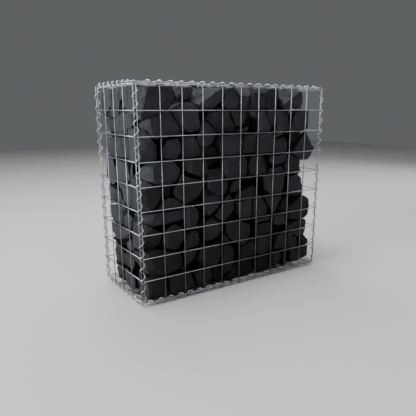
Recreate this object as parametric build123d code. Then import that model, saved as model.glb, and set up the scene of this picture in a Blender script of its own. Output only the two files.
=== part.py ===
from build123d import *
import os
from itertools import combinations
from math import atan2, cos, degrees, pi, radians, sin, sqrt

# Gabion wall: a free-standing basket of welded wire mesh, laced with spiral binders and
# filled with split stone. X runs along the wall, Y through its thickness, +Z up. The origin
# is on the ground under the middle of the basket.

# Basket, between the centres of its edge wires
length = 1000.0
depth = 400.0
height = 900.0

# Welded mesh
cell = 100.0            # usual pitch of the wires, fitted to each side of the basket
mesh_wire = 4.0         # diameter of the drawn wire
panel_stand = 10.0      # outer wires of a panel, out from the neighbours' edge wires

# Spiral binders, one along each edge of the basket
binder_wire = 4.0       # diameter of the drawn wire
binder_pitch = 50.0     # usual rise of one turn, fitted to whole turns in a cell
binder_run = 10.0       # usual rise of one straight run of a turn
binder_play = 0.6       # between a turn and the edge wires inside it
binder_stop = 15.0      # from a corner of the basket to the end of a binder

# Stone fill in courses, from the base up, with the room that each leaves inside the mesh
stone = 145.0           # usual length of a stone along a face
notch = 26.0            # depth of the joint between two stones
course_lean = 16.0      # a course is this much slimmer at its bed joints, on each side
corner_round = 34.0     # stones at the corners stay back by this much
lid_room = 16.0         # between the top of the fill and the lid
front_room = [7.0, 4.0, 5.0, 3.0, 6.0, 4.0, 3.0, 5.0, 4.0]
back_room = [48.0, 34.0, 28.0, 22.0, 30.0, 24.0, 38.0, 30.0, 24.0]
left_room = [34.0, 20.0, 12.0, 8.0, 10.0, 12.0, 9.0, 7.0, 5.0]
right_room = [52.0, 66.0, 48.0, 30.0, 74.0, 70.0, 40.0, 36.0, 72.0]

# Square bars with the steel area of the round wires
mesh_bar = mesh_wire * sqrt(pi) / 2
binder_bar = binder_wire * sqrt(pi) / 2

half = Vector(length, depth, height) / 2
X, Y, Z = Vector(1, 0, 0), Vector(0, 1, 0), Vector(0, 0, 1)

# Each panel: its outward normal and the way that its outer wires run. The inner wires run
# across them, welded on the inside. The panels take turns, so that every edge of the basket
# has the outer wires of one panel beside the inner wires of the other.
panels = {
    "front": (-Y, X),
    "back": (Y, X),
    "left": (-X, Z),
    "right": (X, Z),
    "base": (-Z, Y),
    "lid": (Z, Y),
}


def reach(direction):
    """Half the size of the basket along a direction, between wire centres."""
    return abs(direction.X * half.X) + abs(direction.Y * half.Y) + abs(direction.Z * half.Z)


def cells_along(direction):
    """How many cells fit along a direction."""
    return round(2 * reach(direction) / cell)


def mesh_panel(normal, run):
    """A flat panel of welded wires: outer wires on the plane, inner wires one bar inside."""
    rows = normal.cross(run)
    long_way = 2 * reach(run)
    cross_way = 2 * reach(rows)
    outer_wire = Box(long_way + mesh_bar, mesh_bar, mesh_bar)
    inner_wire = Pos(0, 0, -mesh_bar) * Box(mesh_bar, cross_way + mesh_bar, mesh_bar)
    outer_pitch = cross_way / cells_along(rows)
    inner_pitch = long_way / cells_along(run)
    outer = GridLocations(cell, outer_pitch, 1, cells_along(rows) + 1) * outer_wire
    inner = GridLocations(inner_pitch, cell, cells_along(run) + 1, 1) * inner_wire
    origin = normal * (reach(normal) + panel_stand)
    return Plane(origin=origin, x_dir=run, z_dir=normal) * (Part() + outer + inner)


def edge_offset(name, along):
    """How far the edge wire of a panel that runs along an edge stands out from the corner."""
    normal, run = panels[name]
    if abs(run.dot(along)) > 0.5:
        return normal * panel_stand
    return normal * (panel_stand - mesh_bar)


def spiral_binder(first, second):
    """A spiral that laces two panels: its turns go round both edge wires."""
    along = panels[first][0].cross(panels[second][0])
    if along.X + along.Y + along.Z < 0:
        along = -along
    corner = panels[first][0] * reach(panels[first][0]) + panels[second][0] * reach(panels[second][0])
    wire_a = edge_offset(first, along)
    wire_b = edge_offset(second, along)
    spread = wire_a - wire_b
    to_a = spread.normalized()

    # The outer corner of a square edge wire, seen from the middle of the two wires
    low, high = sorted(abs(c) for c in (to_a.X, to_a.Y, to_a.Z))[1:]
    bar_reach = mesh_bar / 2 * (high + low)
    bar_side = mesh_bar / 2 * (high - low)
    inside = spread.length / 2 + bar_reach + binder_play + binder_bar / sqrt(2)

    # A whole number of turns fits in a cell, so all turns pass the cross wires alike
    pitch = 2 * reach(along) / cells_along(along)
    turns = round(pitch / binder_pitch)
    runs = round(pitch / turns / binder_run)
    rise = pitch / turns / runs
    step = 360 / runs

    # A turn of uneven count has a flat run at the first wire and a corner at the second, so
    # its axis is moved a little towards the first, and both wires touch the spiral inside.
    flat = cos(radians(step / 2))
    point = flat
    if runs % 2:
        point = flat / cos(radians(step / 2) - atan2(bar_side, inside))
    radius = 2 * inside / (flat + point)
    middle = corner + (wire_a + wire_b) / 2 + to_a * (radius * (point - flat) / 2)
    frame = Plane(origin=middle, x_dir=to_a, z_dir=along)

    # The turns pass the cross wires on the outside of the basket
    outward = panels[first][0] + panels[second][0]
    out_angle = degrees(atan2(outward.dot(along.cross(to_a)), outward.dot(to_a)))
    skip = round(binder_stop / rise - 0.5) + 0.5
    count = round(2 * reach(along) / rise - 2 * skip)
    first_angle = (round(out_angle / step) + skip) * step
    points = []
    for k in range(count + 1):
        angle = radians(first_angle + k * step)
        points.append((radius * cos(angle), radius * sin(angle), (skip + k) * rise - reach(along)))
    path = Polyline(*points)
    section = Plane(origin=path @ 0, z_dir=path % 0) * Rectangle(binder_bar, binder_bar)
    return frame * sweep(section, path=path, transition=Transition.RIGHT)


def course_outline(level, lean, z):
    """The outline of one course of stones at a height: a joint at every second point."""
    inside = panel_stand - 1.5 * mesh_bar
    x0 = -half.X - inside + left_room[level]
    x1 = half.X + inside - right_room[level]
    y0 = -half.Y - inside + front_room[level]
    y1 = half.Y + inside - back_room[level]
    r = corner_round
    sides = [
        (Vector(x0 + r, y0, z), Vector(x1 - r, y0, z), Y),
        (Vector(x1, y0 + r, z), Vector(x1, y1 - r, z), -X),
        (Vector(x1 - r, y1, z), Vector(x0 + r, y1, z), -Y),
        (Vector(x0, y1 - r, z), Vector(x0, y0 + r, z), X),
    ]
    points = []
    for a, b, inward in sides:
        count = round(2 * (b - a).length / stone)
        for i in range(count + 1):
            deep = notch if (i + level) % 2 and 0 < i < count else 0
            points.append(a + (b - a) * (i / count) + inward * (deep + lean))
    return points


def flat_face(*corners):
    return make_face(Polyline(*corners, close=True))


def fill_course(level, bottom, height):
    """One course: widest at half height, as stones are that lean on each other."""
    bed = course_outline(level, course_lean, bottom)
    waist = course_outline(level, 0, bottom + height / 2)
    top = course_outline(level, course_lean, bottom + height)
    faces = [flat_face(*bed), flat_face(*top)]
    for lower, upper in ((bed, waist), (waist, top)):
        for i in range(len(lower)):
            faces.append(flat_face(lower[i - 1], lower[i], upper[i], upper[i - 1]))
    return Solid(Shell(faces))


nodes = {}
for name, (normal, run) in panels.items():
    nodes[f"{name}_mesh"] = mesh_panel(normal, run)

for first, second in combinations(panels, 2):
    if abs(panels[first][0].dot(panels[second][0])) < 0.5:
        nodes[f"binder_{first}_{second}"] = spiral_binder(first, second)

fill_bottom = -half.Z - panel_stand + 1.5 * mesh_bar
fill_top = half.Z + panel_stand - 1.5 * mesh_bar - lid_room
courses = len(front_room)
course_height = (fill_top - fill_bottom) / courses
for level in range(courses):
    bottom = fill_bottom + level * course_height
    nodes[f"fill_course_{level + 1}"] = fill_course(level, bottom, course_height)

# The lowest turns of the base binders stand on the ground
lift = -min(node.bounding_box().min.Z for node in nodes.values())
os.makedirs("parts", exist_ok=True)
for name, node in nodes.items():
    export_step(Pos(0, 0, lift) * node, f"parts/{name}.step")
print("lift", lift)
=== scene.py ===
import bpy
import bmesh
import random
from math import atan, cos, pi, radians, sin, sqrt
from mathutils import Matrix, Vector, noise


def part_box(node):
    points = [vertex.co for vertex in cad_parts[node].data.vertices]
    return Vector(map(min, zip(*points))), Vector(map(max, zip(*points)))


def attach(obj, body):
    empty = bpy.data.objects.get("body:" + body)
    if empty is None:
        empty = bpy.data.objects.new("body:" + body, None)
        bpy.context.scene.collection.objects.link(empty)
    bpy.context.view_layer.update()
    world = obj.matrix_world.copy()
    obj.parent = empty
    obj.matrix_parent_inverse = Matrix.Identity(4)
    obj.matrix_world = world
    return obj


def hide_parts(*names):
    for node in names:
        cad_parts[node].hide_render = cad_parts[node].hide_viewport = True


# Gabion wall: a basket of welded wire mesh, laced with spiral binders and filled with split
# stone. X runs along the wall, Y through its thickness from front to back, and Z up.

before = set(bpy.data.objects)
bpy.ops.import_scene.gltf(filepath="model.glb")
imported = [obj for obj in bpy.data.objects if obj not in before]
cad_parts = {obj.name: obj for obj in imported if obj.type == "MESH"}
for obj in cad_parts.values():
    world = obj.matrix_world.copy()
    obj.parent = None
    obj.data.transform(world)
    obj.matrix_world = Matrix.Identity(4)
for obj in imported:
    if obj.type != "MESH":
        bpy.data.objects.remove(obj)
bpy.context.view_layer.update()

# Sizes in metres, as in the CAD model
CELL = 0.1                      # pitch of the mesh wires
CELLS = Vector((10, 4, 9))      # along the wall, through it and up
HALF = CELLS * CELL / 2         # half the basket, between wire centres
WIRE = 0.004                    # diameter of the mesh wire
BAR = WIRE * sqrt(pi) / 2       # side of a square bar with the same steel area
ROUNDED_BAR = 0.0035449         # the same to a tenth of a micron; the stones were fitted with it
STAND = 0.010                   # outer wires of a panel, out from the neighbours' edge wires
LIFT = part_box("front_mesh")[0].z + ROUNDED_BAR / 2    # height of the lowest level wires
MIDDLE = Vector((0, 0, LIFT + HALF.z))

BINDER_WIRE = 0.004             # diameter of the binder wire
BINDER_PITCH = 0.05             # rise of one turn
BINDER_STOP = 0.015             # from a corner of the basket to the end of a binder
BINDER_PLAY = 0.0003            # between a turn and the edge wires, less than in the CAD model
BINDER_RADIUS = sqrt(STAND ** 2 + (STAND - BAR) ** 2) / 2 + WIRE / 2 + BINDER_PLAY + BINDER_WIRE / 2

# Sides of the round wires, and steps in a turn of a binder
WIRE_SIDES = 10
BINDER_SIDES = 8
TURN_STEPS = 14


def linear(hex_colour):
    """A colour picked as sRGB, as the linear value that the shaders take."""
    parts = [int(hex_colour[i:i + 2], 16) / 255 for i in (1, 3, 5)]
    return tuple(c / 12.92 if c <= 0.04045 else ((c + 0.055) / 1.055) ** 2.4 for c in parts) + (1,)


def add(tree, kind, inputs={}, **settings):
    """Adds a shader node with its settings, values and links."""
    made = tree.nodes.new(kind)
    for name, value in settings.items():
        setattr(made, name, value)
    for name, value in inputs.items():
        if isinstance(value, bpy.types.NodeSocket):
            tree.links.new(value, made.inputs[name])
        else:
            made.inputs[name].default_value = value
    return made


def new_material(name):
    """A material with one plain shader, and what is needed to build on it."""
    material = bpy.data.materials.new(name)
    material.use_nodes = True
    tree = material.node_tree
    tree.nodes.clear()
    shader = add(tree, "ShaderNodeBsdfPrincipled")
    add(tree, "ShaderNodeOutputMaterial", {"Surface": shader.outputs[0]})
    return material, tree, shader


def split_basalt():
    """Basalt broken with a hammer and left as split: flat facets, matt and nearly black, that look sandy
    close by, with bruised edges painted a little paler, partly as wear and partly as a painted highlight,
    and a film of grey dust in places.
    Its fine pores swallow most of the sheen."""
    cloud_size = 0.045      # patches of dust
    hollow_size = 0.018     # hollows in the split faces
    grain_size = 0.005      # the sandy grain is about 1 mm, drawn coarser so that it shows
    material, tree, shader = new_material("split_basalt")
    place = add(tree, "ShaderNodeTexCoord").outputs["Object"]
    tone_and_shade = add(tree, "ShaderNodeAttribute", attribute_name="tone_and_shade").outputs["Fac"]
    edge = add(tree, "ShaderNodeAttribute", attribute_name="edge").outputs["Fac"]
    cloud = add(tree, "ShaderNodeTexNoise",
                {"Vector": place, "Scale": 1 / cloud_size, "Detail": 6, "Roughness": 0.6})
    grain = add(tree, "ShaderNodeTexNoise",
                {"Vector": place, "Scale": 1 / grain_size, "Detail": 3, "Roughness": 0.75})

    # Each stone has its own tone, with painted shade that darkens the lower stones, clouded with dust and
    # speckled by the grain
    dust_and_shade = add(tree, "ShaderNodeMath", {0: cloud.outputs[0], 1: tone_and_shade}, operation="ADD")
    speck_and_shade = add(tree, "ShaderNodeMath", {0: grain.outputs[0], 1: 1.6, 2: dust_and_shade.outputs[0]},
                operation="MULTIPLY_ADD")
    amount = add(tree, "ShaderNodeMapRange",
                 {"Value": speck_and_shade.outputs[0], "From Min": 0.9, "From Max": 2.6})
    stone = add(tree, "ShaderNodeMix",
                {"Factor": amount.outputs[0], "A": linear("#0e0f12"), "B": linear("#34363b")},
                data_type="RGBA")
    # Bruised edges painted paler with the grain: partly wear, partly a painted highlight where the edges
    # catch the light
    wear_and_highlight = add(tree, "ShaderNodeMath", {0: edge, 1: grain.outputs[0]}, operation="MULTIPLY")
    colour = add(tree, "ShaderNodeMix",
                 {"Factor": wear_and_highlight.outputs[0], "A": stone.outputs["Result"], "B": linear("#585b61")},
                 data_type="RGBA")
    tree.links.new(colour.outputs["Result"], shader.inputs["Base Color"])
    shader.inputs["Specular IOR Level"].default_value = 0.3
    rough = add(tree, "ShaderNodeMapRange",
                {"Value": grain.outputs[0], "To Min": 0.55, "To Max": 0.85})
    tree.links.new(rough.outputs[0], shader.inputs["Roughness"])

    # Shallow hollows of the split faces, and the sandy grain on them
    split = add(tree, "ShaderNodeTexNoise",
                {"Vector": place, "Scale": 1 / hollow_size, "Detail": 5, "Roughness": 0.6})
    hollows = add(tree, "ShaderNodeBump",
                  {"Height": split.outputs[0], "Distance": 0.006, "Strength": 0.8})
    sandy = add(tree, "ShaderNodeBump",
                {"Height": grain.outputs[0], "Distance": 0.002, "Strength": 0.9,
                 "Normal": hollows.outputs[0]})
    tree.links.new(sandy.outputs[0], shader.inputs["Normal"])
    return material


def galvanised_wire(name, dark, light, roughness):
    """Drawn steel wire, hot-dip galvanised: dull bright zinc, a little cloudy."""
    cloud_size = 0.012      # patches of the zinc, about three wires wide
    material, tree, shader = new_material(name)
    place = add(tree, "ShaderNodeTexCoord").outputs["Object"]
    cloud = add(tree, "ShaderNodeTexNoise",
                {"Vector": place, "Scale": 1 / cloud_size, "Detail": 4, "Roughness": 0.6})
    zinc = add(tree, "ShaderNodeMix",
               {"Factor": cloud.outputs[0], "A": linear(dark), "B": linear(light)},
               data_type="RGBA")
    tree.links.new(zinc.outputs["Result"], shader.inputs["Base Color"])
    rough = add(tree, "ShaderNodeMapRange",
                {"Value": cloud.outputs[0], "To Min": roughness - 0.1, "To Max": roughness + 0.12})
    tree.links.new(rough.outputs[0], shader.inputs["Roughness"])
    shader.inputs["Metallic"].default_value = 1
    bump = add(tree, "ShaderNodeBump",
               {"Height": cloud.outputs[0], "Distance": 0.0003, "Strength": 0.4})
    tree.links.new(bump.outputs[0], shader.inputs["Normal"])
    return material


STONE = split_basalt()
MESH_ZINC = galvanised_wire("galvanised_mesh_wire", "#797c81", "#999ca1", 0.45)
BINDER_ZINC = galvanised_wire("galvanised_binder_wire", "#8f9297", "#b2b4b8", 0.40)


def finished(bm, name, material, slot, *nodes):
    """Turns a bmesh into a piece that rides on the basket and stands for CAD nodes. Its
    surface is shaded smooth, except at the edges that are marked sharp."""
    for face in bm.faces:
        face.smooth = True
    mesh = bpy.data.meshes.new(name)
    bm.to_mesh(mesh)
    bm.free()
    mesh.materials.append(material)
    piece = bpy.data.objects.new(name, mesh)
    bpy.context.scene.collection.objects.link(piece)
    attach(piece, "root")
    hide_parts(*nodes)


# The six mesh panels: outward normal, and the way that the outer wires run
PANELS = {
    "front": (Vector((0, -1, 0)), Vector((1, 0, 0))),
    "back": (Vector((0, 1, 0)), Vector((1, 0, 0))),
    "left": (Vector((-1, 0, 0)), Vector((0, 0, 1))),
    "right": (Vector((1, 0, 0)), Vector((0, 0, 1))),
    "base": (Vector((0, 0, -1)), Vector((0, 1, 0))),
    "lid": (Vector((0, 0, 1)), Vector((0, 1, 0))),
}


def reach(direction):
    """Half the size of the basket along a direction."""
    return sum(abs(d) * h for d, h in zip(direction, HALF))


def wire_grid(bm, normal, run, offset):
    """Parallel round wires on a plane, one for each row of cells."""
    rows = normal.cross(run)
    count = round(2 * reach(rows) / CELL)
    turn = Vector((0, 0, 1)).rotation_difference(run).to_matrix().to_4x4()
    for i in range(count + 1):
        middle = MIDDLE + normal * (reach(normal) + offset) + rows * ((i - count / 2) * CELL)
        bmesh.ops.create_cone(bm, cap_ends=True, segments=WIRE_SIDES, radius1=WIRE / 2,
                              radius2=WIRE / 2, depth=2 * reach(run) + WIRE,
                              matrix=Matrix.Translation(middle) @ turn)


def mesh_panel(name):
    """A panel of welded mesh: outer wires, and inner wires across them."""
    normal, run = PANELS[name]
    bm = bmesh.new()
    wire_grid(bm, normal, run, STAND)
    wire_grid(bm, normal, normal.cross(run), STAND - BAR)
    finished(bm, f"{name}_wires", MESH_ZINC, "mesh_wire", f"{name}_mesh")


for name in PANELS:
    mesh_panel(name)


def edge_offset(name, along):
    """How far the edge wire of a panel that runs along an edge stands out from the corner."""
    normal, run = PANELS[name]
    return normal * (STAND if abs(run.dot(along)) > 0.5 else STAND - BAR)


def spiral(first, second, station):
    """A round wire wound into a spiral along the edge between two panels. The turn that
    passes a cross wire stands at the angle station, from +X or +Y round the edge."""
    one, other = PANELS[first][0], PANELS[second][0]
    along = one.cross(other)
    if sum(along) < 0:
        along = -along
    corner = MIDDLE + one * reach(one) + other * reach(other)
    middle = corner + (edge_offset(first, along) + edge_offset(second, along)) / 2
    across = Vector((along.z, along.x, along.y))
    up = along.cross(across)
    length = 2 * reach(along) - 2 * BINDER_STOP
    turns = length / BINDER_PITCH
    count = round(turns * TURN_STEPS)
    angle = radians(station) + BINDER_STOP / BINDER_PITCH * 2 * pi
    out = across * cos(angle) + up * sin(angle)
    start = middle - along * (length / 2)

    # The wire's section stands square to the helix, and is wound round the edge
    slope = atan(BINDER_PITCH / (2 * pi * BINDER_RADIUS))
    heading = along.cross(out) * cos(slope) + along * sin(slope)
    turn = Vector((0, 0, 1)).rotation_difference(heading).to_matrix().to_4x4()
    bm = bmesh.new()
    bmesh.ops.create_circle(bm, segments=BINDER_SIDES, radius=BINDER_WIRE / 2,
                            matrix=Matrix.Translation(start + out * BINDER_RADIUS) @ turn)
    rim = bm.edges[:]
    bmesh.ops.contextual_create(bm, geom=rim)
    end = bmesh.ops.spin(bm, geom=rim, cent=start, axis=along, dvec=along * (length / count),
                         angle=turns * 2 * pi, steps=count)
    last = [g for g in end["geom_last"] if isinstance(g, bmesh.types.BMEdge)]
    bmesh.ops.contextual_create(bm, geom=last)
    bmesh.ops.recalc_face_normals(bm, faces=bm.faces)
    finished(bm, f"spiral_{first}_{second}", BINDER_ZINC, "binder_wire", f"binder_{first}_{second}")


# Angle in degrees of each spiral where it passes the cross wires, always outside the basket
STATIONS = {
    ("front", "left"): 155, ("front", "right"): 325, ("back", "left"): 110, ("back", "right"): 20,
    ("front", "base"): 234, ("front", "lid"): 95, ("back", "base"): 300, ("back", "lid"): 60,
    ("left", "base"): 215, ("left", "lid"): 315, ("right", "base"): 135, ("right", "lid"): 45,
}
for (first, second), station in STATIONS.items():
    spiral(first, second, station)


# Stones that show on the front. For each one: room behind the wires and thickness, in cells
# of the mesh; the facets split off its face, as side, tilt in degrees and where they start
# on the way out from its middle; and its outline as it shows through the mesh, along and up.
# The last three sit deeper, in the dark between the others.
FRONT = [
    (.04, .95, "lllu,45,.5 d,35,.55",
     "0.06,8.92 1.5,8.92 1.63,8.62 1.55,8.3 1.2,8.1 0.45,7.66 0.2,7.68 0.04,7.85"),
    (.08, .70, "lu,44,-.4", "1.52,8.92 1.95,8.93 1.95,8.6 1.75,8.3 1.63,8.55"),
    (.16, .80, "", "1.97,8.93 2.48,8.93 2.52,8.78 2.38,8.55 2.15,8.42 1.97,8.4"),
    (.04, 1.0, "luu,46,-.05 rd,20,.5",
     "2.28,8.52 2.5,8.93 4.15,8.94 3.97,8.7 3.97,8.42 3.55,8.15 3.0,8.05 2.6,8.28"),
    (.10, .90, "d,25,.6 u,35,.75",
     "3.99,8.5 4.2,8.92 4.5,8.95 4.75,8.78 4.9,8.4 4.8,8.1 4.3,8.06 4.02,8.22"),
    (.05, .90, "u,48,.15 r,30,.55",
     "4.75,8.78 4.95,8.95 5.5,8.95 5.62,8.75 5.45,8.2 5.3,8.06 5.0,8.1 4.9,8.4"),
    (.05, .90, "u,42,.5 l,25,.3",
     "5.52,8.95 6.5,8.96 6.42,8.65 6.3,8.35 6.35,8.08 5.35,8.06 5.5,8.3 5.65,8.75"),
    (.14, .90, "rd,22,-.3",
     "6.5,8.96 7.05,8.97 7.2,8.75 7.33,8.35 7.25,8.12 6.4,8.1 6.32,8.35 6.45,8.65"),
    (.05, 1.0, "luu,46,-.05 r,35,.75",
     "7.22,8.8 7.5,8.96 8.3,8.98 8.62,8.8 8.85,8.35 8.7,8.08 7.7,8.06 7.35,8.3"),
    (.04, 1.0, "l,50,.5 lu,42,.7 rd,20,.6",
     "0.22,7.45 0.42,7.7 1.2,8.0 1.42,7.97 1.9,7.2 1.95,7.03 0.8,6.9 0.55,6.95 0.3,7.2"),
    (.05, 1.0, "u,42,.6 l,28,.1 d,30,.6",
     "1.46,7.95 1.7,8.18 1.98,8.36 2.4,8.38 2.72,8.22 2.85,7.4 2.75,7.2 2.4,7.13 1.95,7.32 1.75,7.52"),
    (.04, .80, "l,35,.3 u,30,.5",
     "2.85,7.3 3.12,7.56 3.3,7.45 3.62,7.12 3.6,6.9 3.42,6.62 3.15,6.48 2.88,6.52 2.74,6.75"),
    (.12, .90, "d,25,-.2", "3.15,7.62 3.3,7.92 4.3,8.0 4.42,7.7 4.7,7.2 4.6,7.08 3.72,7.1"),
    (.10, .90, "d,30,.5", "4.4,7.98 5.25,7.98 5.35,7.8 5.15,7.45 5.0,7.3 4.7,7.36 4.5,7.6"),
    (.14, .80, "", "4.72,7.3 5.0,7.24 5.35,7.4 5.4,7.08 4.65,7.06"),
    (.10, .70, "lu,35,.0", "5.42,7.93 5.92,7.98 5.92,7.62 5.68,7.72"),
    (.04, .90, "l,28,.2 d,30,.6", "5.93,7.98 6.36,8.0 6.52,7.55 6.78,7.2 6.72,7.06 6.02,7.05 5.92,7.4"),
    (.20, .90, "", "6.42,7.95 6.98,7.95 6.95,7.45 6.85,7.2 6.55,7.6"),
    (.04, 1.0, "ld,25,.6",
     "6.98,7.6 7.1,7.92 7.78,8.0 7.88,7.7 7.92,7.1 7.6,6.98 7.35,6.82 7.1,6.85 6.98,7.1"),
    (.05, 1.0, "r,42,.35 u,30,.75 ld,30,.4",
     "8.08,7.5 8.4,7.92 9.0,8.02 9.45,8.0 9.58,7.7 9.5,7.42 9.3,7.18 8.95,7.05 8.15,7.04"),
    (.40, .80, "", "8.0,7.0 8.7,6.98 8.4,6.5 8.1,6.3 7.98,6.6"),
    (.04, 1.1, "llu,25,.1 r,25,.5", "0.0,7.3 0.3,7.24 0.55,6.93 0.76,6.7 0.8,6.1 0.0,6.04"),
    (.12, .80, "l,35,.3 u,30,.6",
     "1.06,6.4 1.15,6.78 1.35,6.95 1.75,6.97 1.87,6.7 1.9,6.35 1.7,6.12 1.4,6.05 1.15,6.1"),
    (.12, .90, "d,20,.0 r,25,.6",
     "2.03,6.95 2.65,6.95 2.74,6.66 2.95,6.42 2.92,6.15 2.4,6.06 2.06,6.1 2.0,6.5"),
    (.08, .90, "d,20,.7 r,28,.6",
     "3.78,6.6 3.92,6.92 5.2,6.98 5.22,6.75 5.0,6.5 4.96,6.1 4.1,6.04 3.96,6.4"),
    (.28, .80, "", "5.05,6.45 5.25,6.9 5.95,6.95 5.98,6.1 5.05,6.08"),
    (.05, .90, "ld,25,.1 u,25,.7", "6.0,6.98 6.88,6.98 6.97,6.6 6.88,6.1 6.1,6.05 5.98,6.5"),
    (.10, .90, "u,45,.6 r,30,.5",
     "7.02,6.3 7.05,6.68 7.35,6.8 7.6,6.75 7.88,6.45 7.92,6.12 7.6,6.04 7.1,6.06"),
    (.05, 1.1, "u,20,.6 rd,30,.6",
     "8.05,6.0 8.4,6.42 8.78,6.86 9.1,6.9 9.38,6.5 9.67,6.08 9.5,5.7 9.3,5.57 8.95,5.6 8.35,5.9"),
    (.04, .75, "l,52,.5 lu,45,.65 rd,20,.6",
     "0.18,5.4 0.35,5.84 0.7,5.95 1.5,5.95 1.88,5.6 1.65,5.15 1.3,5.03 0.65,5.08"),
    (.05, .90, "l,35,.4 d,25,.7", "2.05,5.55 2.1,5.93 3.1,6.0 3.2,5.9 3.18,5.35 2.9,5.22 2.4,5.4"),
    (.04, 1.0, "u,35,.45 r,20,.6 ld,20,.6",
     "1.46,4.75 1.76,5.28 2.06,5.46 2.95,5.22 3.02,4.75 2.65,4.35 2.15,4.1 1.6,4.4"),
    (.30, .80, "", "1.02,4.55 1.05,4.98 1.5,5.0 1.42,4.5"),
    (.10, .90, "u,28,.1 l,20,.6",
     "3.05,4.75 3.08,5.45 3.95,5.45 4.15,5.12 4.42,4.85 4.15,4.35 3.85,4.25 3.3,4.58"),
    (.04, 1.0, "l,25,.75 r,25,.7 d,20,.7",
     "4.05,5.6 4.15,5.86 4.42,6.0 5.15,5.98 5.42,5.66 5.42,5.3 5.2,5.03 4.42,5.0 4.1,5.25"),
    (.15, .90, "l,30,.5 u,20,.5", "5.5,5.45 5.55,5.78 5.75,5.93 6.5,5.95 6.68,5.5 6.62,5.08 5.6,5.08"),
    (.14, .90, "d,25,.2", "6.75,5.7 6.85,5.95 7.85,5.96 7.7,5.5 7.1,5.44 6.9,5.5"),
    (.10, .90, "", "6.7,5.1 6.9,5.4 7.68,5.45 7.72,5.06 6.72,5.04"),
    (.06, .90, "l,25,.4 r,30,.6", "7.76,5.45 8.05,5.86 8.6,5.82 8.78,5.45 8.76,5.08 7.8,5.05"),
    (.04, .95, "luu,48,.4 r,25,.6",
     "0.0,5.34 0.25,5.3 0.6,5.06 0.93,4.82 0.92,4.55 0.62,4.15 0.4,4.02 0.0,4.0"),
    (.06, .80, "u,35,.2 l,20,.5", "0.78,4.05 1.05,4.36 1.4,4.5 1.68,4.42 2.0,4.14 1.98,3.99 0.8,3.98"),
    (.05, 1.0, "l,35,.75 u,20,.7", "0.12,3.85 0.4,3.95 1.92,3.97 1.95,3.5 1.7,3.4 0.5,3.34 0.25,3.5"),
    (.22, .80, "", "4.4,4.5 4.55,4.88 5.0,4.92 5.02,4.42 4.45,4.34"),
    (.10, .90, "u,35,.0", "4.66,4.05 4.92,4.3 5.9,4.56 6.1,4.3 6.0,4.04 4.75,3.98"),
    (.12, .90, "u,25,.2", "3.02,3.6 3.02,4.66 3.6,4.46 3.98,4.1 3.72,3.7 3.3,3.42"),
    (.04, .90, "l,25,.3 r,30,.6", "6.42,4.98 7.76,5.0 7.72,4.5 7.6,4.08 6.95,4.05 6.56,4.3"),
    (.10, .90, "r,30,.4 u,25,.6", "8.05,3.95 8.05,4.75 8.55,4.92 8.92,4.6 8.99,4.0 8.85,3.8"),
    (.04, .90, "l,35,.1", "1.96,3.95 2.48,3.98 2.72,3.7 2.72,3.35 2.56,3.0 2.1,2.96 1.98,3.4"),
    (.06, .90, "r,25,.6 d,25,.6 lu,25,.6",
     "4.05,4.2 4.4,4.26 4.62,4.0 4.67,3.6 4.5,3.28 4.15,3.08 3.8,3.2 3.42,3.5 3.78,3.95"),
    (.08, .90, "l,20,.4 d,20,.6", "4.72,3.93 5.74,4.0 5.72,3.1 5.2,3.0 4.87,3.3"),
    (.06, .90, "r,25,.3", "5.8,4.0 6.3,4.02 6.76,3.4 6.76,3.1 6.4,3.0 5.8,3.06"),
    (.04, .90, "u,20,.5", "6.4,4.0 7.56,4.0 7.6,3.8 7.2,3.14 7.05,3.02 6.86,3.25"),
    (.20, .80, "", "7.32,3.06 7.66,3.62 7.95,3.76 7.99,3.1"),
    (.05, 1.1, "r,40,.6 u,30,.6",
     "8.0,3.15 8.35,3.22 8.55,3.56 8.9,3.76 9.25,3.68 9.62,3.4 9.8,3.05 9.5,2.7 9.2,2.55 8.3,2.6 8.0,2.75"),
    (.04, 1.1, "luu,45,.3 d,28,-.2",
     "0.0,3.56 0.25,3.52 0.5,3.12 0.86,2.98 0.87,2.52 0.56,2.33 0.04,2.38"),
    (.04, .90, "l,28,.6 u,32,.6 rd,28,.5",
     "0.96,2.6 1.02,2.95 1.2,3.12 1.5,3.32 1.82,3.15 1.96,2.85 1.92,2.45 1.65,2.15 1.18,2.25"),
    (.06, .80, "l,30,.3", "2.04,2.9 2.52,2.92 2.72,2.7 2.76,2.35 2.7,2.16 2.04,2.04"),
    (.14, .90, "u,32,.4 r,20,.5", "3.05,3.2 3.4,3.4 3.76,3.1 3.96,2.75 3.96,2.3 3.05,2.28"),
    (.04, 1.1, "ld,35,.55 r,25,.7 d,28,.7",
     "4.2,2.8 4.35,3.02 5.0,2.99 5.6,2.76 5.72,2.3 5.45,1.9 5.2,1.74 4.75,1.95 4.3,2.35"),
    (.12, .70, "u,35,.0", "4.08,2.02 4.08,2.48 4.28,2.36 4.55,2.1 4.45,1.97"),
    (.08, .80, "d,20,.5", "6.02,3.0 6.8,3.0 6.95,2.85 6.75,2.74 6.0,2.72"),
    (.10, .90, "", "6.02,2.68 6.75,2.7 7.0,2.6 7.0,2.1 6.02,2.05"),
    (.06, .90, "d,20,.3", "7.12,2.6 7.18,2.9 7.95,2.97 8.0,2.4 7.3,2.4"),
    (.05, 1.0, "r,40,.5 u,30,.7",
     "8.1,2.1 8.12,2.42 8.6,2.54 9.2,2.5 9.66,2.27 9.72,2.05 9.3,1.65 8.9,1.54 8.4,1.78"),
    (.04, 1.1, "u,40,.6 r,20,.6",
     "0.1,2.25 0.9,2.22 1.72,2.0 1.92,1.6 1.75,1.28 1.1,1.1 0.25,1.28 0.12,1.8"),
    (.06, .80, "r,25,.2", "1.78,1.98 2.72,2.12 2.68,1.75 2.4,1.55 2.1,1.28 1.95,1.42"),
    (.04, 1.0, "l,25,.7 r,20,.7", "2.68,1.6 2.78,1.95 3.86,2.0 3.9,1.4 3.75,1.02 2.95,1.0"),
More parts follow.
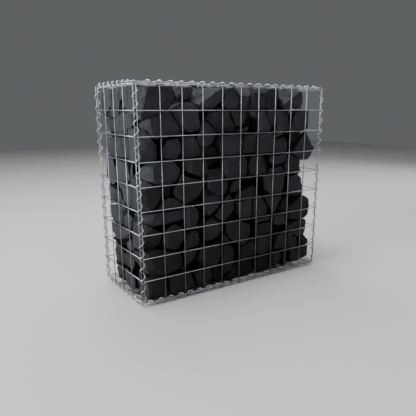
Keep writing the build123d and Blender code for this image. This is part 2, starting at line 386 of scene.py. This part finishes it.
    (.06, .90, "r,35,.3 u,25,.6", "4.06,1.2 4.1,1.88 4.45,1.86 4.72,1.55 4.82,1.1 4.5,0.65 4.12,0.5"),
    (.25, .90, "d,20,.2", "5.0,1.65 5.35,1.72 5.95,1.95 6.0,1.1 5.1,1.02"),
    (.12, .90, "r,25,.4", "6.05,1.15 6.05,1.95 6.95,2.0 7.0,1.2 6.5,1.05"),
    (.10, .90, "l,30,.3", "7.25,1.15 7.4,1.8 7.9,2.0 8.0,1.3 7.9,1.05"),
    (.10, .90, "r,30,.3", "8.1,1.05 8.1,1.9 8.65,1.72 8.9,1.3 8.85,1.05"),
    (.10, .90, "", "8.95,1.05 8.98,1.5 9.3,1.58 9.6,1.3 9.62,1.05"),
    (.04, 1.1, "l,22,.75 u,20,.75", "0.18,0.2 0.2,1.05 0.95,1.02 1.02,0.35 0.85,0.1 0.35,0.04"),
    (.05, 1.0, "u,20,.7 r,20,.7", "1.12,0.3 1.15,1.0 2.15,1.05 2.32,0.85 2.52,0.3 2.1,0.18 1.25,0.12"),
    (.06, .90, "d,25,.4", "2.4,1.04 3.36,1.06 3.42,0.45 3.1,0.25 2.66,0.28"),
    (.45, .80, "", "3.45,0.15 3.45,0.95 4.0,0.95 4.05,0.2"),
    (.30, .80, "", "4.1,0.1 4.1,0.5 4.5,0.62 4.85,0.9 4.88,0.15"),
    (.50, .90, "", "4.9,0.2 4.95,1.0 5.95,1.0 6.0,0.2"),
    (.35, .90, "", "6.05,0.15 6.05,1.0 6.95,1.05 6.95,0.2"),
    (.06, .90, "l,25,.5", "7.08,0.4 7.1,1.0 7.62,1.06 7.74,0.8 7.74,0.45 7.4,0.28"),
    (.30, .80, "", "7.8,0.15 7.8,1.0 8.1,1.0 8.15,0.2"),
    (.06, 1.0, "r,20,.7", "8.15,0.35 8.15,1.0 9.6,1.04 9.62,0.4 9.0,0.25 8.3,0.25"),
    (.85, .90, "", "8.25,3.3 8.25,4.4 8.95,4.45 9.15,3.9 9.0,3.4"),
    (.55, .90, "", "7.95,4.7 8.05,5.35 8.7,5.35 8.85,4.9 8.7,4.6"),
    (.75, .90, "", "7.6,6.5 7.6,7.3 8.3,7.35 8.5,6.9 8.3,6.5"),
]

# Stones that show on the left end, with the way in from the near corner and up. The last
# seven sit deeper, in the dark between the others.
LEFT = [
    (.08, 1.0, "l,20,.5 d,25,.6", "2.5,8.9 3.3,8.9 3.7,8.55 3.85,8.15 3.7,7.8 3.4,7.74 2.75,8.3"),
    (.06, 1.0, "r,25,.6", "1.45,8.9 2.45,8.9 2.6,8.3 2.75,7.76 1.95,7.72 1.5,8.15"),
    (.12, .90, "r,30,.3", "0.5,8.5 0.55,8.85 1.4,8.9 1.45,8.2 1.0,8.06 0.7,8.1"),
    (.10, 1.0, "ld,28,.2", "2.35,7.1 2.3,7.66 2.9,7.7 3.35,7.6 3.6,7.15 3.2,7.05"),
    (.10, .90, "", "2.2,7.75 2.3,8.0 3.45,7.98 3.4,7.72"),
    (.06, 1.0, "u,40,.5 d,25,.5", "0.7,7.6 0.75,7.95 1.6,7.96 2.25,7.7 2.3,7.1 1.5,7.02 1.0,7.15"),
    (.06, 1.1, "d,25,.5 r,25,.6", "1.3,6.1 1.3,6.9 2.2,6.92 2.9,6.76 3.5,6.3 3.2,6.1 1.9,6.02"),
    (.08, .90, "", "2.9,6.8 3.0,7.02 3.6,7.04 3.4,6.75"),
    (.05, .90, "", "2.6,4.9 2.8,5.95 3.55,6.0 3.65,5.0 3.2,4.8"),
    (.06, 1.0, "d,22,.4 u,30,.7",
     "1.1,5.3 1.15,5.75 1.5,5.95 2.4,5.95 2.55,5.4 2.3,4.9 1.9,4.5 1.4,4.85"),
    (.12, .80, "", "0.78,5.4 0.78,5.9 1.25,5.92 1.28,5.3 0.95,5.2"),
    (.05, .90, "u,35,.4", "0.98,4.4 1.0,4.95 1.45,4.9 1.88,4.6 1.85,4.15 1.1,4.04"),
    (.08, .90, "r,30,.4", "2.3,4.0 2.4,5.0 3.4,5.1 3.55,4.4 3.3,3.85"),
    (.08, 1.0, "u,20,.5", "1.9,3.4 2.0,3.86 2.7,3.97 3.35,3.8 3.58,3.35 3.1,3.0 2.2,3.05"),
    (.10, .90, "", "1.1,3.1 1.15,3.55 1.5,3.75 1.95,3.4 1.95,3.05"),
    (.10, 1.0, "", "1.6,2.5 1.7,2.98 2.6,3.02 3.25,2.95 3.5,2.6 3.0,2.25 2.4,2.3"),
    (.10, .80, "", "1.15,2.1 1.15,2.5 1.3,2.55 1.7,2.3 1.6,2.05"),
    (.10, .90, "", "2.15,1.15 2.2,1.9 2.8,2.0 3.2,1.6 3.0,1.1"),
    (.08, 1.0, "u,35,.2", "1.12,1.25 1.12,2.02 1.9,2.0 2.05,1.6 1.95,1.2 1.3,1.15"),
    (.08, 1.0, "", "1.14,0.3 1.14,1.05 1.9,1.1 2.1,0.8 2.0,0.35 1.4,0.2"),
    (.12, .90, "", "2.1,0.35 2.15,0.95 2.7,1.0 3.1,0.7 2.8,0.35"),
    (.25, .90, "", "2.0,4.6 2.1,5.25 2.9,5.3 3.2,4.95 3.0,4.6"),
    (.16, .90, "", "2.2,2.65 2.3,3.35 3.2,3.4 3.4,2.9 3.0,2.6"),
    (.16, .90, "", "2.2,1.75 2.3,2.5 3.1,2.55 3.3,2.1 2.9,1.7"),
    (.30, .90, "", "1.9,3.7 2.0,4.3 2.8,4.35 3.0,4.0 2.8,3.6"),
    (.28, .90, "", "2.2,6.6 2.2,7.45 2.95,7.45 3.1,7.0 2.95,6.6"),
    (.28, .90, "", "2.4,1.6 2.4,2.3 3.0,2.3 3.1,1.9 3.0,1.6"),
    (.20, .90, "", "2.1,0.75 2.2,1.4 2.9,1.45 3.1,1.0 2.8,0.7"),
]

# For each face: which way it looks, and which way its outlines run. The outlines of both
# start from the lower near corner of the mesh.
FACES = {
    "front": (Vector((0, -1, 0)), Vector((1, 0, 0))),
    "left": (Vector((-1, 0, 0)), Vector((0, 1, 0))),
}
NEAR_CORNER = Vector((-0.5, -0.208, LIFT))
EYE = Vector((-1.2388, -1.8319, 0.8235))    # where the photograph was taken from
UP = Vector((0, 0, 1))

# The room that the fill has inside the mesh
INSIDE = STAND - 1.5 * BAR
LOW = Vector((-HALF.x - INSIDE, -HALF.y - INSIDE, LIFT - INSIDE))
HIGH = Vector((HALF.x + INSIDE, HALF.y + INSIDE, LIFT + 2 * HALF.z + INSIDE))

# How far the loose stones stay inside the mesh on each side, course by course from the base
ROOMS = (
    (Vector((0, -1, 0)), (.060, .060, .055, .050, .055, .060, .050, .055, .060)),
    (Vector((0, 1, 0)), (.048, .034, .028, .022, .030, .024, .038, .030, .024)),
    (Vector((-1, 0, 0)), (.034, .020, .012, .008, .010, .012, .009, .007, .005)),
    (Vector((1, 0, 0)), (.052, .066, .048, .030, .074, .070, .040, .036, .072)),
)
COURSES = 9                     # one for each row of mesh cells

# The face of an outlined stone, in cells of the mesh
OUTLINE_SPREAD = 0.04           # from its outline out to its rim
FLAT_DEPTH = 0.03               # from its front to the flatter part inside the rim
RIM_DEPTH = 0.17                # from its front to the rim
RIM_SLANT = 0.09                # how much deeper the rim lies at the near side
RIM_PLAY = 0.03
CORNER_STONE = 0.2              # a stone whose outline comes this close to the corner fills it

# Splitting and fitting the stones
JOINT = 0.0012                  # between two stones that lean on each other
NEIGHBOUR = 0.28                # stones with their middles further apart can't touch
LEAST_CUT = 1e-5                # a plane that takes less than this leaves a stone whole
SAME_FACET = radians(2)         # facets that meet at less than this are one facet
SPLIT_COUNT = 4                 # facets and scars on the face of an outlined stone
SMALLEST_OUTLINED = 3e-5        # smaller pieces, in cubic metres, are left out
SMALLEST_LOOSE = 1.5e-4

# The surface of the stones
BRUISE = (0.0012, 0.003)        # width of the bruised edges
TONE_PLAY = 0.75                # how much the tone differs from stone to stone
PAINTED_SHADE_RISE = 0.65                # painted shade: how much the colour lightens from half height to the lid, and darkens below it
SEEN_DEPTH = 0.13               # stones further in from the mesh don't show, and stay plain
EDGE_LIMITS = (0.04, 0.02, 0.013)    # longer edges are halved, once for each of these
WAVES_PER_METRE = 22
WAVE_DEPTH = 0.0032
DENTS_PER_METRE = 95
DENT_DEPTH = 0.0011
SHARP = radians(20)             # steeper edges stay sharp

rng = random.Random(11)
placed = []
courses = [bmesh.new() for _ in range(COURSES)]
for course in courses:
    course.faces.layers.float.new("edge")
    course.faces.layers.float.new("tone_and_shade")


def course_at(place):
    """Which course of stones a place lies in, from 0 at the base."""
    return max(0, min(COURSES - 1, int((place.z - LOW.z) / (HIGH.z - LOW.z) * COURSES)))


def behind(face, along, up, back):
    """The point at a depth behind the wires that shows at a place on the mesh."""
    normal, run = FACES[face]
    seen = NEAR_CORNER + run * (along * CELL) + UP * (up * CELL)
    sight = seen - EYE
    return EYE + sight * (1 + back / -sight.dot(normal))


def close_up(bm):
    """Makes a stone whole again after a cut, with flat facets."""
    bmesh.ops.delete(bm, geom=bm.edges[:], context="EDGES_FACES")
    hull = bmesh.ops.convex_hull(bm, input=bm.verts[:])
    inner = {v for v in hull["geom_interior"] if isinstance(v, bmesh.types.BMVert)}
    bmesh.ops.delete(bm, geom=list(inner), context="VERTS")
    bmesh.ops.recalc_face_normals(bm, faces=bm.faces[:])
    bmesh.ops.dissolve_limit(bm, angle_limit=SAME_FACET, verts=bm.verts[:],
                             edges=bm.edges[:])


def split_off(bm, point, way):
    """Takes away whatever of a stone lies beyond a plane."""
    if any((v.co - point).dot(way) > LEAST_CUT for v in bm.verts):
        bmesh.ops.bisect_plane(bm, geom=bm.verts[:] + bm.edges[:] + bm.faces[:], dist=1e-6,
                               plane_co=point, plane_no=way, clear_outer=True)
        if len(bm.verts) > 3:
            close_up(bm)


def middle_of(bm):
    """The mean of a stone's corners."""
    return sum((v.co for v in bm.verts), Vector()) / len(bm.verts)


def fit(bm):
    """Cuts a stone clear of those set before it, each time by the plane that takes least."""
    for other, facets, corners in placed:
        if len(bm.verts) < 4:
            return
        if (other - middle_of(bm)).length > NEIGHBOUR:
            continue
        cuts = [(min((v.co - point).dot(way) for v in bm.verts), point + way * JOINT, -way)
                for point, way in facets]
        for f in bm.faces:
            point, way = f.calc_center_median(), f.normal.copy()
            gap = min((c - point).dot(way) for c in corners)
            cuts.append((gap, point + way * (gap - JOINT), way))
        gap, point, way = max(cuts, key=lambda cut: cut[0])
        if gap < JOINT:
            split_off(bm, point, way)


def bruise(bm, middle):
    """Knocks the edges off a stone, and notes them for the material, which paints them a little paler,
    partly as wear and partly as a painted highlight. It also notes the stone's own tone with painted shade,
    which makes the lower stones darker."""
    bevel = bmesh.ops.bevel(bm, geom=bm.edges[:], offset=rng.uniform(*BRUISE),
                            affect="EDGES", segments=1, profile=0.5, material=-1,
                            clamp_overlap=True)
    bruised = set(bevel["faces"])
    edge = bm.faces.layers.float.new("edge")
    tone_and_shade = bm.faces.layers.float.new("tone_and_shade")
    # painted shade: the colour darkens from the lid down to the base, added to each stone's own random tone
    shade = TONE_PLAY * rng.random() + PAINTED_SHADE_RISE * (middle.z - MIDDLE.z) / HALF.z
    for face in bm.faces:
        # the bruised faces are painted paler: partly wear, partly a painted highlight
        face[edge] = face in bruised
        face[tone_and_shade] = shade


def roughen(bm, middle):
    """Gives the facets of a stone their waves and dents, and keeps the edges between them."""
    bmesh.ops.triangulate(bm, faces=bm.faces[:])
    inward = min(h - abs(c) for h, c in zip(HALF, middle - MIDDLE))
    if inward < SEEN_DEPTH:
        for limit in EDGE_LIMITS:
            long = [e for e in bm.edges if e.calc_length() > limit]
            bmesh.ops.subdivide_edges(bm, edges=long, cuts=1)
            bmesh.ops.triangulate(bm, faces=bm.faces[:])
    bm.normal_update()
    shifts = []
    for v in bm.verts:
        waves = noise.fractal(v.co * WAVES_PER_METRE, 1, 2, 3)
        dents = noise.noise(v.co * DENTS_PER_METRE)
        shifts.append(v.normal * ((waves - 0.7) * WAVE_DEPTH + (dents - 0.5) * DENT_DEPTH))
    for v, shift in zip(bm.verts, shifts):
        v.co += shift
    bm.normal_update()
    for e in bm.edges:
        e.smooth = e.calc_face_angle(0) < SHARP


def set_stone(bm, smallest):
    """Fits a rough stone into the mesh and beside its neighbours, and finishes it."""
    for axis in range(3):
        way = Vector((0, 0, 0))
        way[axis] = 1
        split_off(bm, HIGH, way)
        split_off(bm, LOW, -way)
    fit(bm)
    if len(bm.faces) < 5 or bm.calc_volume() < smallest:
        bm.free()
        return
    middle = middle_of(bm)
    placed.append((middle, [(f.calc_center_median(), f.normal.copy()) for f in bm.faces],
                   [v.co.copy() for v in bm.verts]))
    bruise(bm, middle)
    roughen(bm, middle)
    stone = bpy.data.meshes.new("stone")
    bm.to_mesh(stone)
    bm.free()
    courses[course_at(middle)].from_mesh(stone)
    bpy.data.meshes.remove(stone)


def rough_front(bm, face, front, points, centre):
    """The face of a stone: a ring of points on its outline, and a flatter part inside them
    that leans and nods a little. The near side of the ring, which the eye sees round, lies
    deeper than the far side."""
    along0, up0 = centre
    width = max(abs(p[0] - along0) for p in points)
    lean = rng.uniform(-0.1, 0.1)
    nod = rng.uniform(-0.06, 0.14)
    ring = []
    for along, up in points:
        out = sqrt((along - along0) ** 2 + (up - up0) ** 2)
        along += (along - along0) / out * OUTLINE_SPREAD
        up += (up - up0) / out * OUTLINE_SPREAD
        slant = RIM_SLANT * (along - along0) / width
        rim = (RIM_DEPTH - slant + rng.uniform(-RIM_PLAY, RIM_PLAY)) * CELL
        ring.append(behind(face, along, up, front + rim))
        bm.verts.new(ring[-1])
        inset = rng.uniform(0.84, 0.97)
        if rng.random() < 0.75:
            aside = (along - along0) * inset
            above = (up - up0) * inset
            depth = max(0, FLAT_DEPTH + lean * aside + nod * above) * CELL
            bm.verts.new(behind(face, along0 + aside, up0 + above, front + depth))
    return ring


def rough_back(bm, face, thick, points, ring):
    """The hidden half of a stone: it swells behind its outline and then narrows. A front
    stone at the near corner is as wide at its back, because its end shows on the left."""
    normal = FACES[face][0]
    middle = sum(ring, Vector()) / len(ring)
    for (along, _), point in zip(points, ring):
        out = point - middle
        out -= normal * out.dot(normal)
        bm.verts.new(point + out * rng.uniform(0.02, 0.08) - normal * rng.uniform(0.15, 0.3) * CELL)
        back = middle + out * rng.uniform(0.65, 0.9) - normal * (thick * rng.uniform(0.7, 0.85) * CELL)
        if face == "front" and along < CORNER_STONE:
            back = Vector((LOW.x + rng.uniform(0.002, 0.012), point.y + thick * 0.75 * CELL, point.z))
        bm.verts.new(back)


def split_facet(bm, normal, side, tilt, start, ring, face_middle):
    """Splits a facet off the face of a stone, tilted to one side."""
    reach_out = max((p - face_middle).dot(side) for p in ring)
    way = normal * cos(tilt) + side * sin(tilt)
    split_off(bm, face_middle + side * (reach_out * start), way)


def outlined_stone(face, room, thick, facets, outline):
    """A stone in a face of the wall, split to its outline and facets."""
    normal, run = FACES[face]
    front = room * CELL
    points = [tuple(map(float, p.split(","))) for p in outline.split()]
    centre = [sum(values) / len(points) for values in zip(*points)]
    bm = bmesh.new()
    ring = rough_front(bm, face, front, points, centre)
    rough_back(bm, face, thick, points, ring)
    close_up(bm)
    nearer = -run if face == "front" else run
    sides = {"l": nearer, "r": -nearer, "u": UP, "d": -UP}
    face_middle = behind(face, *centre, front)
    for facet in facets.split():
        letters, tilt, start = facet.split(",")
        side = sum((sides[c] for c in letters), Vector()).normalized()
        split_facet(bm, normal, side, radians(float(tilt)), float(start), ring, face_middle)

    # Shallow scars where smaller flakes came off. On the left end they keep to the near side,
    # because on the far side they would cut into the outline.
    for _ in range(SPLIT_COUNT - len(facets.split())):
        turn = rng.uniform(0, 2 * pi) if face == "front" else rng.uniform(0.6 * pi, 1.4 * pi)
        side = run * cos(turn) + UP * sin(turn)
        tilt = radians(rng.uniform(14, 34))
        split_facet(bm, normal, side, tilt, rng.uniform(0.3, 0.7), ring, face_middle)
    set_stone(bm, SMALLEST_OUTLINED)


for stone in FRONT:
    outlined_stone("front", *stone)
for stone in LEFT:
    outlined_stone("left", *stone)

# The rest of the fill, tipped in behind: rough blocks on an uneven grid of places, split
# where they meet
LOOSE_LEVELS = 8
LOOSE_ROWS = 4
LOOSE_COLUMNS = 9
LOOSE_BLOCK = 0.24              # side of a block before it is split
LOOSE_REACH = 0.3               # blocks with their middles further apart don't meet
LOOSE_CLEAR = 0.012             # from the middle of a block to a stone that is set
LOOSE_JOINT = 0.0015            # mean of what is added to the joint between two blocks
LOOSE_KNOCKS = 4                # corners knocked off each block
LOOSE_SCARS = 3                 # scars on the side of a block that faces a side of the wall
LOOSE_SEED = 6                  # leaves no gap right through the wall in the photograph's view
rng.seed(LOOSE_SEED)


def loose_places():
    """Places for the loose stones, clear of the stones that are set."""
    places = []
    for level in range(LOOSE_LEVELS):
        for row in range(LOOSE_ROWS):
            for column in range(LOOSE_COLUMNS):
                stagger = 0.3 + 0.4 * ((level + row) % 2)
                share = ((column + stagger + rng.uniform(-0.25, 0.25)) / LOOSE_COLUMNS,
                         (row + 0.5 + rng.uniform(-0.25, 0.25)) / LOOSE_ROWS,
                         (level + 0.5 + rng.uniform(-0.22, 0.22)) / LOOSE_LEVELS)
                place = Vector([low + (high - low) * s for low, high, s in zip(LOW, HIGH, share)])
                if all(max((place - point).dot(way) for point, way in facets) > LOOSE_CLEAR
                       for _, facets, _ in placed):
                    places.append(place)
    return places


def tipped(way, spread):
    """A direction, tipped a little at random."""
    return (way + Vector([rng.gauss(0, spread) for _ in range(3)])).normalized()


def splits_between(places):
    """For each loose stone, the planes that part it from its neighbours."""
    splits = [[] for _ in places]
    for i, place in enumerate(places):
        for j in range(i):
            between = place - places[j]
            if between.length < LOOSE_REACH:
                way = tipped(between.normalized(), 0.12)
                point = places[j] + between * rng.uniform(0.42, 0.58)
                gap = JOINT + rng.expovariate(1 / LOOSE_JOINT)
                splits[j].append((point - way * gap / 2, way))
                splits[i].append((point + way * gap / 2, -way))
    return splits


def loose_stone(place, splits):
    """A rough block, split from its neighbours and at the room inside the mesh, with some of
    its corners knocked off."""
    bm = bmesh.new()
    bmesh.ops.create_cube(bm, size=LOOSE_BLOCK, matrix=Matrix.Translation(place))
    for point, way in splits:
        split_off(bm, point, way)
    for _ in range(LOOSE_KNOCKS):
        way = Vector([rng.choice((-1, 1)) * rng.uniform(0.35, 1) for _ in range(3)]).normalized()
        split_off(bm, place + way * rng.uniform(0.058, 0.08), way)
    for normal, rooms in ROOMS:
        room = rooms[course_at(place)] - INSIDE + rng.uniform(-0.004, 0.008)
        way = tipped(normal, 0.1)
        wall = reach(normal) - room - (place - MIDDLE).dot(normal)
        split_off(bm, place + normal * wall, way)
        for _ in range(LOOSE_SCARS):
            way = tipped(normal, 0.4)
            split_off(bm, place + way * (wall * rng.uniform(0.88, 1.08)), way)
    set_stone(bm, SMALLEST_LOOSE)


places = loose_places()
for place, splits in zip(places, splits_between(places)):
    loose_stone(place, splits)
for level, course in enumerate(courses, start=1):
    finished(course, f"stones_course_{level}", STONE, "split_stone", f"fill_course_{level}")


def pale_floor():
    """A plain pale floor, eight metres each way from the wall."""
    bm = bmesh.new()
    bmesh.ops.create_grid(bm, x_segments=1, y_segments=1, size=8)
    mesh = bpy.data.meshes.new("floor")
    bm.to_mesh(mesh)
    bm.free()
    material, _, shader = new_material("pale_floor")
    shader.inputs["Base Color"].default_value = linear("#b2b2b2")
    shader.inputs["Roughness"].default_value = 0.9
    mesh.materials.append(material)
    floor = bpy.data.objects.new("floor", mesh)
    bpy.context.scene.collection.objects.link(floor)


pale_floor()

# A weak even light from all round
world = bpy.data.worlds.new("studio")
bpy.context.scene.world = world
world.use_nodes = True
background = world.node_tree.nodes["Background"]
background.inputs["Color"].default_value = linear("#e6eaee")
background.inputs["Strength"].default_value = 0.15


AIM = Vector((0, 0, 0.45))      # about the middle of the wall


def lamp(name, place, size, power):
    """A large round lamp that points at the wall."""
    light = bpy.data.lights.new(name, "AREA")
    light.shape = "DISK"
    light.size = size
    light.energy = power
    made = bpy.data.objects.new(name, light)
    bpy.context.scene.collection.objects.link(made)
    made.location = place
    made.rotation_euler = (AIM - Vector(place)).to_track_quat("-Z", "Y").to_euler()


# The main lamps stand on the left, where their light grazes the front, and overhead. Weaker
# ones reach the front, the back and the right end from above.
lamp("sky_left", (-5.5, -0.45, 1.5), 1.9, 480)
lamp("sky_top", (-1.3, 0.4, 5.0), 2.2, 205)
lamp("sky_front", (-0.5, -1.7, 4.6), 2.2, 85)
lamp("sky_back", (0.6, 2.2, 4.4), 2.2, 150)
lamp("sky_right", (4.6, 0.9, 2.4), 1.9, 80)

# The photograph's view, fitted to the mesh wires, with lengths in pixels of its frame and
# angles in degrees. The photograph is cut off centre, hence the shift.
FRAME = 416
FOCAL = 445.77
SHIFT_RIGHT = -8.87
SHIFT_UP = 20.33
SENSOR = 36                     # width in millimetres, any value does
AZIMUTH = -34.303
DIP = 14.984
ROLL = 0.03
turn = (Matrix.Rotation(radians(AZIMUTH), 4, "Z") @ Matrix.Rotation(radians(90 - DIP), 4, "X")
        @ Matrix.Rotation(radians(ROLL), 4, "Z"))
camera = bpy.data.cameras.new("camera")
camera.sensor_width = SENSOR
camera.lens = SENSOR * FOCAL / FRAME
camera.shift_x = SHIFT_RIGHT / FRAME
camera.shift_y = SHIFT_UP / FRAME
eye = bpy.data.objects.new("camera", camera)
bpy.context.scene.collection.objects.link(eye)
eye.matrix_world = Matrix.Translation(EYE) @ turn
bpy.context.scene.camera = eye
